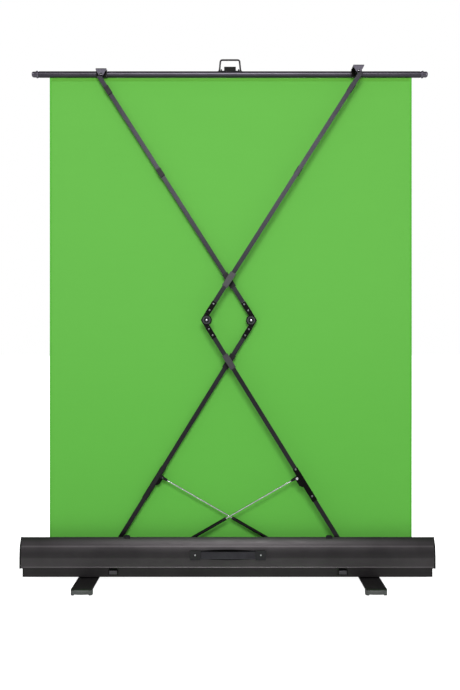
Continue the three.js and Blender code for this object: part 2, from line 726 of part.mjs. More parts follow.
// ---- gas struts ----
function strut(pair, name, strutY) {
  const { lower, side, low, high } = pair;
  const foot = [-side * STRUT_FOOT_X, STRUT_FOOT_Z];
  const bolt = lower.at([STRUT_ALONG, STRUT_OFFSET]);
  const length = Math.hypot(bolt[0] - foot[0], bolt[1] - foot[1]);
  const angle = Math.atan2(bolt[1] - foot[1], bolt[0] - foot[0]);
  const aim = (geometry) => geometry.rotateY(-angle).translate(foot[0], 0, foot[1]);
  const eye = STRUT_EYE;

  const cylinder = cut(
    join(
      barX(CYLINDER_RADIUS, 14, CYLINDER_LENGTH, strutY, 0, 20),
      barY(6.4, 0, strutY - eye, strutY + eye, 0, 20),
      block(0, 16, strutY - 2.5, strutY + 2.5, -4, 4),
    ),
    barX(ROD_RADIUS + GAP, 24, CYLINDER_LENGTH + 1, strutY, 0, 14),
    barY(3.3, 0, strutY - 5, strutY + 5, 0, 14),
  );
  add(`${name}_strut_cylinder`, aim(cylinder), BLACK_STEEL);
  const rod = join(
    barX(ROD_RADIUS, CYLINDER_LENGTH - 20, length - 4, strutY, 0, 14),
    barX(4.4, length - 22, length - 4, strutY, 0, 14),
    barY(5.5, length, strutY - eye, strutY + eye, 0, 20),
  );
  add(`${name}_strut_rod`, aim(rod), BRIGHT_STEEL);

  // the foot bracket on the tray, with its pin
  const floor = CASE_BOTTOM + WALL + GAP;
  const cheek = (y0, y1) => join(
    block(foot[0] - 10, foot[0] + 10, y0, y1, floor, foot[1]),
    barY(10, foot[0], y0, y1, foot[1], 20),
  );
  const bracket = join(
    cheek(strutY - eye - GAP - 1.8, strutY - eye - GAP),
    cheek(strutY + eye + GAP, strutY + eye + GAP + 1.8),
    block(foot[0] - 22, foot[0] + 22, strutY - eye - GAP - 1.8, strutY + eye + GAP + 1.8,
      floor, floor + 2),
    barY(3, foot[0], strutY - eye - GAP - 1, strutY + eye + GAP + 1, foot[1], 14),
  );
  add(`${name}_strut_bracket`, bracket, BLACK_STEEL);

  // a channel riveted round the lower tube carries the lug for the strut's bolt
  const web = 1.8;
  const start = STRUT_ALONG - 114;
  const end = STRUT_ALONG + 38;
  const rivets = [start + 22, end - 18];
  const webAt = side > 0 ? [low - GAP - web, low - GAP] : [high + GAP, high + GAP + web];
  const flangeAt = side > 0 ? [low - GAP - web, high - 1] : [low - GAP - 0.2, high + GAP + web];
  const lugAt = side > 0 ? webAt : [low - GAP - 1.5, low - GAP];
  const reach = STRUT_OFFSET + 7 - lowerAxis(STRUT_ALONG);
  const stub = side > 0
    ? [lugAt[1] - 0.5, strutY - eye - GAP]
    : [strutY + eye + GAP, lugAt[0] + 0.5];
  const channel = join(
    plate(stretch(lower, start, end, -HALF - GAP - 1.4, HALF + GAP + 1.4), ...webAt),
    plate(stretch(lower, start, end, HALF + GAP, HALF + GAP + 1.4), ...flangeAt),
    plate(stretch(lower, start, end, -HALF - GAP - 1.4, -HALF - GAP), ...flangeAt),
    plate(stretch(lower, STRUT_ALONG - 32, STRUT_ALONG + 2, HALF + GAP, reach), ...lugAt),
    barY(7, bolt[0], ...lugAt, bolt[1], 20),
    barY(3.5, bolt[0], ...stub, bolt[1], 14),
    ...rivets.map((a) =>
      boreAt(lower, a, lowerAxis(a), 4, webAt[0] - (side > 0 ? 1.2 : 0), webAt[1], 12)),
  );
  add(`${name}_strut_channel`, channel, BLACK_STEEL);
  if (side > 0) {
    const head = barY(7.4, bolt[0], lugAt[0] - GAP - 2.8, lugAt[0] - GAP, bolt[1], 20);
    add(`${name}_strut_bolt`, head, BRIGHT_STEEL);
  }
}

// the clevis on the tray that holds an arm pair's base pin
function baseBracket(pair, name) {
  const { side, low, high } = pair;
  const x = side * BASE_X;
  const floor = CASE_BOTTOM + WALL + GAP;
  const cheek = (y0, y1) => join(
    block(x - 12, x + 12, y0, y1, floor, BASE_Z),
    barY(12, x, y0, y1, BASE_Z, 24),
  );
  const bracket = join(
    cheek(low - GAP - 2, low - GAP),
    cheek(high + GAP, high + GAP + 2),
    block(x - 30, x + 30, low - GAP - 2, high + GAP + 2, floor, floor + 2.5),
    barY(4, x, low - GAP - 3, high + GAP + 3, BASE_Z, 18),
  );
  add(`${name}_base_bracket`, bracket, BLACK_STEEL);
}

// rubber stops clipped over the rear cover's ridge
function ridgeBumper(side, name) {
  const x = HANDLE_X + side * BUMPER_X;
  const { lean, shoulder, ridge, top } = REAR_COVER;
  const low = top - 7;
  const shape = new THREE.Shape();
  shape.moveTo(x - 13, low);
  shape.lineTo(x + 13, low);
  shape.lineTo(x + 13, top);
  shape.quadraticCurveTo(x + 12, top + 7, x + 5, top + 7);
  shape.lineTo(x - 5, top + 7);
  shape.quadraticCurveTo(x - 12, top + 7, x - 13, top);
  const cover = outline([
    [CASE_BACK + lean - GAP, shoulder],
    [ridge - WALL - GAP, top + GAP],
    [ridge + GAP, top + GAP],
    [ridge + GAP, 100],
    [CASE_BACK, 100],
  ]);
  const body = cut(
    plate(shape, ridge - 6, ridge + 2.2, 4),
    profile(cover, x - 20, x + 20),
  );
  add(`ridge_bumper_${name}`, body, RUBBER);
}

caseParts();
for (const [side, name] of SIDES) {
  foot(side, name);
  latch(side, name);
}
carryHandle();
roller();
fabric();
topBar();
saddle(1, "right", OUTER_Y);
saddle(-1, "left", INNER_Y);
bail();
for (const [side, y, strutY, name] of [
  [1, OUTER_Y, OUTER_STRUT_Y, "outer"],
  [-1, INNER_Y, INNER_STRUT_Y, "inner"],
]) {
  const pair = makePair(side, y);
  tubes(pair, name);
  elbow(pair, name);
  sleeves(pair, name);
  clips(pair, name);
  strut(pair, name, strutY);
  baseBracket(pair, name);
}
for (const [side, name] of SIDES) {
  ridgeBumper(side, name);
}

export default backdrop;
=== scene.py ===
"""A collapsible green backdrop panel, pulled up out of its floor case, seen from the frame side.

Metres, in the frame's own axes: +X along the case, +Y out of the fabric's front, +Z up.
"""

import json
import math

import bmesh
import bpy
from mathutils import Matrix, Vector, noise


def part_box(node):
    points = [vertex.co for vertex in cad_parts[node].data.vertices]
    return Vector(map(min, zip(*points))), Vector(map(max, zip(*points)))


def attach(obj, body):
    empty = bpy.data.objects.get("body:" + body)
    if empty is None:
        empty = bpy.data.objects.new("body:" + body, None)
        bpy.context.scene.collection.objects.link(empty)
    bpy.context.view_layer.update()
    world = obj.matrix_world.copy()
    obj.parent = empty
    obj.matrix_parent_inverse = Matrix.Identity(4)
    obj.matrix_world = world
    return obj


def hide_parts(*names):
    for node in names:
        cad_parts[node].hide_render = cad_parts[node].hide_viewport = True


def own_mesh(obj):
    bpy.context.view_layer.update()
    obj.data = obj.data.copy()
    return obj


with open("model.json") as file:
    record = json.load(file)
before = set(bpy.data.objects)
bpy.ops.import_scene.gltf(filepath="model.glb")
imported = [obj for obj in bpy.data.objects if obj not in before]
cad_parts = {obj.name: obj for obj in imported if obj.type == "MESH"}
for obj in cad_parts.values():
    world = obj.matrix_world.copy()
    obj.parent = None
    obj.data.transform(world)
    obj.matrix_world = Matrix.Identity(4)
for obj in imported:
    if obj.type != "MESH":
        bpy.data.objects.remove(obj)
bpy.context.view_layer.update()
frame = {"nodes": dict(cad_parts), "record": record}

MM = 0.001
X, Y, Z = Vector((1, 0, 0)), Vector((0, 1, 0)), Vector((0, 0, 1))


# ---------------------------------------------------------------- materials
class Finish:
    """A Principled material with helpers for the nodes that vary it over the surface."""

    def __init__(self, name, color, roughness, metallic=0.0, **sockets):
        self.material = bpy.data.materials.new(name)
        self.material.use_nodes = True
        self.tree = self.material.node_tree
        self.shader = self.tree.nodes["Principled BSDF"]
        self.shader.inputs["Base Color"].default_value = (*color, 1)
        self.shader.inputs["Roughness"].default_value = roughness
        self.shader.inputs["Metallic"].default_value = metallic
        for socket, value in sockets.items():
            self.shader.inputs[socket.replace("_", " ")].default_value = value
        self.place = self.node("ShaderNodeTexCoord").outputs["Object"]
        self.last_bump = None

    def node(self, kind, inputs=None, **settings):
        """A new node; each input is a value or another node's output."""
        made = self.tree.nodes.new(kind)
        for key, value in settings.items():
            setattr(made, key, value)
        for key, value in (inputs or {}).items():
            if isinstance(value, bpy.types.NodeSocket):
                self.tree.links.new(value, made.inputs[key])
            else:
                made.inputs[key].default_value = value
        return made

    def stretched(self, scale):
        """Object coordinates, scaled along each axis."""
        inputs = {"Vector": self.place, "Scale": scale}
        return self.node("ShaderNodeMapping", inputs).outputs["Vector"]

    def noise(self, scale, detail=3.0, place=None):
        """A soft random pattern from 0 to 1."""
        inputs = {"Vector": place or self.place, "Scale": scale, "Detail": detail}
        return self.node("ShaderNodeTexNoise", inputs).outputs["Fac"]

    def spread(self, value, low, high, start=0.3, end=0.7):
        """Maps a 0 to 1 pattern to the range low to high."""
        inputs = {
            "Value": value,
            "From Min": start,
            "From Max": end,
            "To Min": low,
            "To Max": high,
        }
        return self.node("ShaderNodeMapRange", inputs).outputs["Result"]

    def mix(self, share, first, second, blend="MIX"):
        """Two colours mixed; share is how much of the second."""
        made = self.node("ShaderNodeMix", {0: share}, data_type="RGBA", blend_type=blend)
        for index, value in ((6, first), (7, second)):
            if isinstance(value, bpy.types.NodeSocket):
                self.tree.links.new(value, made.inputs[index])
            else:
                made.inputs[index].default_value = (*value, 1)
        return made.outputs[2]

    def by_height(self, stops):
        """A colour that changes with height; stops are (height in mm, colour)."""
        split = self.node("ShaderNodeSeparateXYZ", {0: self.place})
        low, high = stops[0][0] * MM, stops[-1][0] * MM
        inputs = {"Value": split.outputs["Z"], "From Min": low, "From Max": high}
        share = self.node("ShaderNodeMapRange", inputs).outputs["Result"]
        ramp = self.node("ShaderNodeValToRGB", {"Fac": share})
        elements = ramp.color_ramp.elements
        for index, (height, color) in enumerate(stops):
            position = (height * MM - low) / (high - low)
            element = elements[index] if index < 2 else elements.new(position)
            element.position = position
            element.color = (*color, 1)
        return ramp.outputs["Color"]

    def math(self, operation, first, second):
        """A sum or a product of two values."""
        return self.node("ShaderNodeMath", {0: first, 1: second}, operation=operation).outputs[0]

    def color(self, value):
        """Sets the base colour to a node's output."""
        self.tree.links.new(value, self.shader.inputs["Base Color"])

    def rough(self, value):
        """Sets the roughness to a node's output."""
        self.tree.links.new(value, self.shader.inputs["Roughness"])

    def bump(self, height, depth, strength=1.0):
        """Adds a height pattern to the surface; depth is in metres."""
        inputs = {"Height": height, "Strength": strength, "Distance": depth}
        if self.last_bump:
            inputs["Normal"] = self.last_bump
        self.last_bump = self.node("ShaderNodeBump", inputs).outputs["Normal"]
        self.tree.links.new(self.last_bump, self.shader.inputs["Normal"])


def shade(color, factor):
    """A colour made lighter or darker."""
    return tuple(channel * factor for channel in color)


def anodised(name, color, roughness, drawn_along=(1, 1, 1), bands=None, drawn=0.35):
    """Extruded aluminium, bead-blasted and anodised: faint drawing lines under a fine grain."""
    finish = Finish(name, color, roughness, metallic=0.85, Specular_IOR_Level=0.4)
    lines = finish.noise(900, 2, finish.stretched(drawn_along))
    clouds = finish.noise(9, 3)
    grain = finish.noise(2600, 1)
    tone = finish.mix(finish.spread(clouds, 0, 1), shade(color, 0.88), shade(color, 1.12))
    # bands, when given, multiply the colour by height with painted highlights, reflections and
    # shade
    if bands:
        tone = finish.mix(1.0, tone, finish.by_height(bands), "MULTIPLY")
    finish.color(tone)
    finish.rough(finish.spread(finish.math("ADD", lines, clouds), roughness - 0.15 * drawn,
                               roughness + 0.2 * drawn, 0.7, 1.3))
    finish.bump(lines, 0.02 * MM, drawn)
    finish.bump(grain, 0.02 * MM, 0.25)
    return finish.material


def worn_and_highlit_edge(name, color, roughness):
    """The rounded edge of an anodised or painted part, in a lighter colour that paints a highlight
    along it, and rubbed a little brighter in places.
    """
    finish = Finish(name, color, roughness, metallic=0.85)
    rubbed = finish.spread(finish.noise(55, 4), 0, 1, 0.5, 0.72)
    finish.color(finish.mix(rubbed, color, shade(color, 1.9)))
    finish.rough(finish.spread(rubbed, roughness, roughness - 0.1, 0, 1))
    finish.bump(finish.noise(1800, 2), 0.02 * MM, 0.2)
    return finish.material


def moulded(name, color, roughness, grain=1500, specular=0.4):
    """Injection-moulded plastic with a spark-eroded texture."""
    finish = Finish(name, color, roughness, Specular_IOR_Level=specular)
    pits = finish.noise(grain, 3)
    cast = finish.noise(35, 2)
    finish.color(finish.mix(finish.spread(cast, 0, 1), shade(color, 0.85), shade(color, 1.2)))
    finish.rough(finish.spread(pits, roughness - 0.07, roughness + 0.09))
    finish.bump(pits, 0.06 * MM, 0.35)
    return finish.material


def painted(name, color, roughness, specular=0.14):
    """Pressed steel with a satin black coat: a slight orange peel and thin spots."""
    finish = Finish(name, color, roughness, metallic=0.1, Specular_IOR_Level=specular)
    peel = finish.noise(420, 2)
    thin = finish.spread(finish.noise(60, 4), 0, 1, 0.55, 0.75)
    finish.color(finish.mix(thin, color, shade(color, 1.6)))
    finish.rough(finish.spread(peel, roughness - 0.06, roughness + 0.06))
    finish.bump(peel, 0.04 * MM, 0.3)
    return finish.material


def steel(name, color, roughness, stretch=(1, 1, 1)):
    """Zinc-plated or brushed steel, streaked along one direction."""
    finish = Finish(name, color, roughness, metallic=1.0)
    streaks = finish.noise(700, 3, finish.stretched(stretch))
    stains = finish.noise(110, 4)
    finish.color(finish.mix(finish.spread(stains, 0, 1), shade(color, 0.82), color))
    finish.rough(finish.spread(streaks, roughness - 0.08, roughness + 0.12))
    finish.bump(streaks, 0.015 * MM, 0.3)
    return finish.material


def rubber(name, color):
    """Dull moulded rubber with a fine grain."""
    finish = Finish(name, color, 0.8, Specular_IOR_Level=0.25)
    grain = finish.noise(1200, 4)
    finish.rough(finish.spread(grain, 0.72, 0.9))
    finish.color(finish.mix(finish.spread(finish.noise(80, 3), 0, 1), shade(color, 0.8),
                            shade(color, 1.4)))
    finish.bump(grain, 0.08 * MM, 0.4)
    return finish.material


def cloth(name, color, hem=False, bands=None):
    """Plain-woven polyester: warp and weft threads, slubs and a soft sheen."""
    finish = Finish(name, color, 0.78, Sheen_Weight=0.04, Sheen_Roughness=0.5,
                    Specular_IOR_Level=0.08)
    pitch = 0.62 * MM
    threads = []
    for axis in ("X", "Z"):
        wave = finish.node(
            "ShaderNodeTexWave",
            {
                "Vector": finish.place,
                "Scale": math.pi / (10 * pitch),
                "Distortion": 0.6,
                "Detail": 1.0,
                "Detail Scale": 1.5,
            },
            wave_type="BANDS",
            bands_direction=axis,
        )
        threads.append(wave.outputs["Fac"])
    weave = finish.math("MULTIPLY", *threads)
    slub = finish.noise(60, 3, finish.stretched((0.08, 1, 1)))
    clouds = finish.noise(2.2, 4)
    tone = finish.math("ADD", finish.spread(clouds, 0, 0.6), finish.spread(slub, 0, 0.4))
    dark, light = (0.9, 0.98) if hem else (0.965, 1.035)
    body = finish.mix(tone, (dark,) * 3, (light,) * 3)
    # bands, when given, are the fabric's colour by height with painted light and shade in it
    if bands:
        body = finish.mix(1.0, body, finish.by_height(bands), "MULTIPLY")
    else:
        body = finish.mix(1.0, body, color, "MULTIPLY")
    finish.color(finish.mix(finish.spread(weave, 0, 1, 0, 1), shade(color, 0.93), body))
    finish.rough(finish.spread(weave, 0.84, 0.74, 0, 1))
    finish.bump(weave, 0.12 * MM, 0.5)
    finish.bump(slub, 0.05 * MM, 0.3)
    return finish.material


CASE_COLOR = (0.052, 0.048, 0.050)
ARM_COLOR = (0.052, 0.050, 0.058)
BAR_COLOR = (0.068, 0.063, 0.077)
STEEL_COLOR = (0.0050, 0.0046, 0.0042)
GREEN = (0.143, 0.500, 0.075)

# how a surface's lines are stretched: along X, or round X
ALONG_X = (0.02, 1, 1)
ROUND_X = (1, 0.05, 0.05)

# heights in mm at which a cover's wall starts to lean, its slope starts, and it ends
REAR_HEIGHTS = (103, 146, 178)
FRONT_HEIGHTS = (96, 128, 152)


def cover_painted_light(waist, shoulder, top):
    """A cover's painted light from its foot to its ridge, as multiples of its colour: a painted
    highlight along the foot and its bead, a painted reflection of the floor on the lower wall,
    painted shade up the wall and the slope, a painted highlight at the shoulder, and a dark green
    painted reflection of the fabric at the ridge.
    """
    levels = [(58, 2.1), (66, 2.1), (70, 1.45), (waist - 5, 1.3), (waist + 1, 0.85),
              (waist + 17, 0.72), (shoulder - 4, 0.80), (shoulder - 1.5, 1.25),
              (shoulder + 1.5, 1.25), (shoulder + 4, 0.60), (shoulder + 14, 0.50)]
    return [(height, (level,) * 3) for height, level in levels] + [(top, (0.22, 0.32, 0.22))]


# by height in mm: the arms' painted reflection and shade, darker towards both ends, as multiples of
# their colour; and the fabric's colour with painted light in it
ARM_PAINTED_SHADE = [(0, (0.40, 0.36, 0.36)), (500, (0.52, 0.50, 0.48)), (950, (0.46, 0.48, 0.46)),
             (2060, (0.33, 0.32, 0.34))]
# the fabric's own green with painted light: lighter low down where the case shades it, paler with
# painted sheen higher up, and a painted shadow just under the bar
CLOTH_COLOUR_AND_PAINTED_LIGHT = [(50, (0.117, 0.549, 0.058)), (190, (0.115, 0.540, 0.056)),
               (360, (0.101, 0.476, 0.049)), (620, (0.103, 0.467, 0.050)),
               (1100, (0.131, 0.471, 0.070)), (1600, (0.137, 0.458, 0.072)),
               (1960, (0.133, 0.435, 0.067)), (2045, (0.115, 0.389, 0.050))]

# the covers' colour carries painted highlights, reflections and shade by height
case_metal = anodised("case_metal", CASE_COLOR, 0.36, ALONG_X, cover_painted_light(*REAR_HEIGHTS))
front_metal = anodised("front_metal", CASE_COLOR, 0.36, ALONG_X, cover_painted_light(*FRONT_HEIGHTS))
# the tray in the case's colour darkened as painted shade under the covers' overhang
tray_metal_painted_shade = anodised("tray_metal_painted_shade", shade(CASE_COLOR, 0.72), 0.34, ALONG_X)
# the arms are darkened by height as painted reflection and shade
arm_metal = anodised("arm_metal", ARM_COLOR, 0.36, bands=ARM_PAINTED_SHADE)
bar_metal = anodised("bar_metal", BAR_COLOR, 0.37, ALONG_X, drawn=0.06)
stub_metal = anodised("stub_metal", shade(BAR_COLOR, 2.0), 0.24, ROUND_X)
# the bar ends' collars and rims in a far lighter copy of the bar's colour: a painted highlight
ring_metal_painted_highlight = anodised("ring_metal_painted_highlight", shade(BAR_COLOR, 4.5), 0.2, ROUND_X)
plate_metal = anodised("plate_metal", (0.050, 0.046, 0.058), 0.36)
latch_metal = anodised("latch_metal", (0.105, 0.100, 0.108), 0.38)
foot_metal = anodised("foot_metal", shade(CASE_COLOR, 0.62), 0.36, (1, 0.02, 1))
# the covers' rounded edges, lighter than the case: a painted highlight along them
edge_highlight_metal = worn_and_highlit_edge("edge_highlight_metal", shade(CASE_COLOR, 1.7), 0.34)
black_plastic = moulded("black_plastic", (0.006, 0.006, 0.006), 0.46, specular=0.22)
toe_plastic = moulded("toe_plastic", (0.075, 0.080, 0.077), 0.42, specular=0.4)
sleeve_plastic = moulded("sleeve_plastic", (0.026, 0.025, 0.028), 0.42, specular=0.5)
handle_plastic = moulded("handle_plastic", (0.014, 0.014, 0.015), 0.5, specular=0.3)
wire_steel = painted("wire_steel", (0.012, 0.009, 0.011), 0.35, specular=0.2)
grip_plastic = moulded("grip_plastic", (0.022, 0.021, 0.026), 0.55, grain=900, specular=0.3)
black_steel = painted("black_steel", shade(STEEL_COLOR, 0.7), 0.42, specular=0.06)
gloss_steel = painted("gloss_steel", shade(STEEL_COLOR, 0.3), 0.12, specular=0.3)
# the black steel parts' rounded edges, far lighter than the steel: a painted highlight along them
steel_edge_highlight = worn_and_highlit_edge("steel_edge_highlight", (0.075, 0.072, 0.068), 0.3)
bright_steel = steel("bright_steel", (0.60, 0.60, 0.62), 0.34)
rivet_steel = steel("rivet_steel", (0.20, 0.20, 0.21), 0.38)
washer_steel = steel("washer_steel", (0.050, 0.054, 0.055), 0.40)
rod_steel = steel("rod_steel", (0.74, 0.75, 0.77), 0.16, (0.05, 1, 1))
black_rubber = rubber("black_rubber", (0.008, 0.008, 0.009))
# near-black that paints shade: in the latch slots and behind the handle's strap
painted_shade_black = moulded("painted_shade_black", (0.0015, 0.0015, 0.0015), 0.6, specular=0.04)
green_cloth = cloth("green_cloth", GREEN, bands=CLOTH_COLOUR_AND_PAINTED_LIGHT)
hem_cloth = cloth("hem_cloth", (0.105, 0.480, 0.045), hem=True)
# the top hem, darker than the sheet as a painted shadow under the bar
top_cloth_painted_shadow = cloth("top_cloth_painted_shadow", (0.120, 0.410, 0.048), hem=True)
thread = moulded("thread", shade(GREEN, 0.8), 0.7, grain=3000, specular=0.2)


# ---------------------------------------------------------------- meshes
EDGE_ANGLE = 32  # degrees; a sharper edge than this gets rounded
CREASE_ANGLE = 38  # degrees; a sharper edge than this is shaded as a crease


def smooth_edges(piece, width, edge_highlight_material=None, angle=EDGE_ANGLE):
    """Rounds the sharp edges of a faceted mesh, and shades it smoothly."""
    weld = piece.modifiers.new("weld", "WELD")
    weld.merge_threshold = 0.002 * MM
    flat = piece.modifiers.new("flat", "DECIMATE")
    flat.decimate_type = "DISSOLVE"
    flat.angle_limit = math.radians(0.6)
    bevel = piece.modifiers.new("bevel", "BEVEL")
    bevel.width = width
    bevel.segments = 2
    bevel.limit_method = "ANGLE"
    bevel.angle_limit = math.radians(angle)
    bevel.use_clamp_overlap = True
    # an edge material gives the bevels a painted highlight
    if edge_highlight_material:
        piece.data.materials.append(edge_highlight_material)
        bevel.material = len(piece.data.materials) - 1
    for polygon in piece.data.polygons:
        polygon.use_smooth = True
    normals = piece.modifiers.new("normals", "WEIGHTED_NORMAL")
    normals.keep_sharp = False


def dress(names, material, width, edge_highlight_material=None, angle=EDGE_ANGLE):
    """Gives CAD nodes their material and rounds their edges."""
    for name in names:
        node = frame["nodes"][name]
        node.data.materials.clear()
        node.data.materials.append(material)
        smooth_edges(node, width, edge_highlight_material, angle)


def piece_from(name, mesh, material):
    """A new smooth object from a bmesh, with one material."""
    data = bpy.data.meshes.new(name)
    bmesh.ops.recalc_face_normals(mesh, faces=mesh.faces)
    mesh.to_mesh(data)
    mesh.free()
    for polygon in data.polygons:
        polygon.use_smooth = True
    made = bpy.data.objects.new(name, data)
    bpy.context.scene.collection.objects.link(made)
    data.materials.append(material)
    return made


def axes_for(direction):
    """Two unit vectors square to a direction."""
    direction = Vector(direction).normalized()
    helper = Z if abs(direction.z) < 0.9 else X
    side = direction.cross(helper).normalized()
    return side, direction.cross(side)


def lathe(mesh, origin, direction, outline, sides=28, closed=False):
    """Turns an outline of (radius, along) points about a line through origin, into mesh."""
    direction = Vector(direction).normalized()
    side, up = axes_for(direction)
    rings = []
    for radius, along in outline:
        centre = Vector(origin) + direction * along
        if radius < 1e-7:
            rings.append([mesh.verts.new(centre)])
            continue
        ring = []
        for step in range(sides):
            turn = 2 * math.pi * step / sides
            spoke = side * math.cos(turn) + up * math.sin(turn)
            ring.append(mesh.verts.new(centre + spoke * radius))
        rings.append(ring)
    pairs = list(zip(rings, rings[1:]))
    if closed:
        pairs.append((rings[-1], rings[0]))
    for first, second in pairs:
        for step in range(sides):
            following = (step + 1) % sides
            corners = [first[step % len(first)], first[following % len(first)],
                       second[following % len(second)], second[step % len(second)]]
            unique = list(dict.fromkeys(corners))
            if len(unique) > 2:
                mesh.faces.new(unique)


def finished(name, mesh, material, body):
    """A piece with its creases kept, on its body and in its material slot."""
    made = piece_from(name, mesh, material)
    made.data.set_sharp_from_angle(angle=math.radians(CREASE_ANGLE))
    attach(made, body)
    return made


def turned(name, places, direction, outline, material, body, sides=24,
           closed=False):
    """Turned pieces such as rivets, washers or collars, one at each place, on one body."""
    mesh = bmesh.new()
    for place in places:
        lathe(mesh, place, direction, outline, sides, closed)
    return finished(name, mesh, material, body)


def in_mm(outline):
    """An outline given in millimetres, in metres."""
    return [(radius * MM, along * MM) for radius, along in outline]


def dome(radius, height):
    """The outline of a rivet's round head, a little sunk into what it holds."""
    sunk = 0.4 * MM
    arc = [(radius * math.cos(turn), height * math.sin(turn))
           for turn in (math.radians(step) for step in (90, 68, 46, 24, 0))]
    return [(0, height)] + arc[1:] + [(radius, -sunk), (0, -sunk)]


def pan_head(radius, height, socket=0.42):
    """The outline of a screw's head with a round socket in it."""
    hole = radius * socket
    return [(0, height * 0.35), (hole, height * 0.35), (hole, height * 0.92),
            (hole * 1.15, height), (radius * 0.72, height), (radius * 0.94, height * 0.7),
            (radius, height * 0.3), (radius, -0.3 * MM), (0, -0.3 * MM)]


def loft(mesh, loops):
    """Joins closed sections, all with the same number of points, and caps both ends."""
    rings = [[mesh.verts.new(point) for point in loop] for loop in loops]
    count = len(rings[0])
    for first, second in zip(rings, rings[1:]):
        for step in range(count):
            after = (step + 1) % count
            mesh.faces.new((first[step], first[after], second[after], second[step]))
    mesh.faces.new(rings[0][::-1])
    mesh.faces.new(rings[-1])


def lofted(name, loops, material, body):
    """A piece made of closed sections that follow each other."""
    mesh = bmesh.new()
    loft(mesh, loops)
    return finished(name, mesh, material, body)


def body_of(node):
    """The body that a CAD node rides on."""
    for body, nodes in frame["record"]["behaviour"]["bodies"].items():
        if node in nodes:
            return body
    raise KeyError(node)


# ---------------------------------------------------------------- scene
CAMERA_PLACE = (0.010, -2.93, 0.948)
CAMERA_LENS = 37.6


def make_camera():
    """Level, on the frame side, at the height of the middle of the panel."""
    data = bpy.data.cameras.new("camera")
    data.sensor_width = 36
    data.lens = CAMERA_LENS
    camera = bpy.data.objects.new("camera", data)
    camera.location = CAMERA_PLACE
    camera.rotation_euler = (math.pi / 2, 0, 0)
    bpy.context.scene.collection.objects.link(camera)
    bpy.context.scene.camera = camera


def area_light(name, place, aim, size, watts):
    """A rectangular lamp at a place, turned towards its aim."""
    data = bpy.data.lights.new(name, "AREA")
    data.shape = "RECTANGLE"
    data.size, data.size_y = size
    data.energy = watts
    light = bpy.data.objects.new(name, data)
    light.location = place
    light.rotation_euler = (Vector(aim) - Vector(place)).to_track_quat("-Z", "Y").to_euler()
    bpy.context.scene.collection.objects.link(light)


# how bright the studio is towards each height, as (sine of the elevation, brightness)
STUDIO_LEVELS = [(-0.30, 0.52), (-0.03, 0.30), (0.08, 0.40), (0.26, 0.72), (0.46, 0.56),
                 (0.70, 0.32), (0.86, 0.26), (1.00, 0.26)]
STUDIO_TINT = (1.0, 0.985, 1.03)
STUDIO_STRENGTH = 2.0
FLOOR_GLOW = 0.97  # how white the floor is to the camera


def make_world():
    """White behind the object; what lights it is brighter above and dim at the horizon."""
    world = bpy.data.worlds.new("studio")
    world.use_nodes = True
    tree = world.node_tree
    lit = tree.nodes["Background"]
    seen = tree.nodes.new("ShaderNodeBackground")
    seen.inputs["Color"].default_value = (1, 1, 1, 1)
    seen.inputs["Strength"].default_value = 1.0
    place = tree.nodes.new("ShaderNodeTexCoord")
    split = tree.nodes.new("ShaderNodeSeparateXYZ")
    height = tree.nodes.new("ShaderNodeMapRange")
    height.inputs["From Min"].default_value = -1
    ramp = tree.nodes.new("ShaderNodeValToRGB")
    ramp.color_ramp.interpolation = "EASE"
    stops = ramp.color_ramp.elements
    for index, (sine, level) in enumerate(STUDIO_LEVELS):
        spot = (sine + 1) / 2
        stop = stops[index] if index < 2 else stops.new(spot)
        stop.position = spot
        stop.color = (*shade(STUDIO_TINT, level / STUDIO_STRENGTH), 1)
    lit.inputs["Strength"].default_value = STUDIO_STRENGTH
    rays = tree.nodes.new("ShaderNodeLightPath")
    chosen = tree.nodes.new("ShaderNodeMixShader")
    output = tree.nodes["World Output"]
    for source, target in [
        (place.outputs["Generated"], split.inputs[0]),
        (split.outputs["Z"], height.inputs["Value"]),
        (height.outputs["Result"], ramp.inputs["Fac"]),
        (ramp.outputs["Color"], lit.inputs["Color"]),
        (rays.outputs["Is Camera Ray"], chosen.inputs[0]),
        (lit.outputs[0], chosen.inputs[1]),
        (seen.outputs[0], chosen.inputs[2]),
        (chosen.outputs[0], output.inputs["Surface"]),
    ]:
        tree.links.new(source, target)
    bpy.context.scene.world = world


def make_floor():
    """A pale floor that the camera sees as white, with only a trace of shadow."""
    mesh = bmesh.new()
    bmesh.ops.create_grid(mesh, x_segments=8, y_segments=8, size=60)
    finish = Finish("floor", (0.82, 0.82, 0.82), 0.7, Specular_IOR_Level=0.2)
    finish.bump(finish.noise(40, 3), 0.1 * MM, 0.1)
    rays = finish.node("ShaderNodeLightPath").outputs["Is Camera Ray"]
    glow = finish.math("MULTIPLY", rays, FLOOR_GLOW)
    finish.shader.inputs["Emission Color"].default_value = (1, 1, 1, 1)
    finish.tree.links.new(glow, finish.shader.inputs["Emission Strength"])
    floor = piece_from("floor", mesh, finish.material)
    floor.location.z = -0.5 * MM


def make_studio():
    """A white studio with a large soft lamp high on the frame side and one behind."""
    bpy.context.scene.view_settings.view_transform = "Standard"
    make_world()
    make_floor()
    area_light("overhead", place=(0, -5.0, 3.4), aim=(0, 0.1, 1.0), size=(2.2, 1.3), watts=190)
    area_light("behind", place=(0, 4.8, 3.3), aim=(0, 0, 1.0), size=(2.6, 1.6), watts=110)


make_camera()
make_studio()

# ---------------------------------------------------------------- places taken from the CAD
CASE_LOW, CASE_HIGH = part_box("rear_cover")
FRONT_LOW, FRONT_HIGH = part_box("front_cover")
SHEET_LOW, SHEET_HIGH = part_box("fabric_sheet")
BAR_LOW, BAR_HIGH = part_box("top_bar_tube")
GRIP_LOW, GRIP_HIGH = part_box("handle_grip")
ROLLER_LOW, ROLLER_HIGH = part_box("roller_tube")
SIDES = ((-1, "left"), (1, "right"))
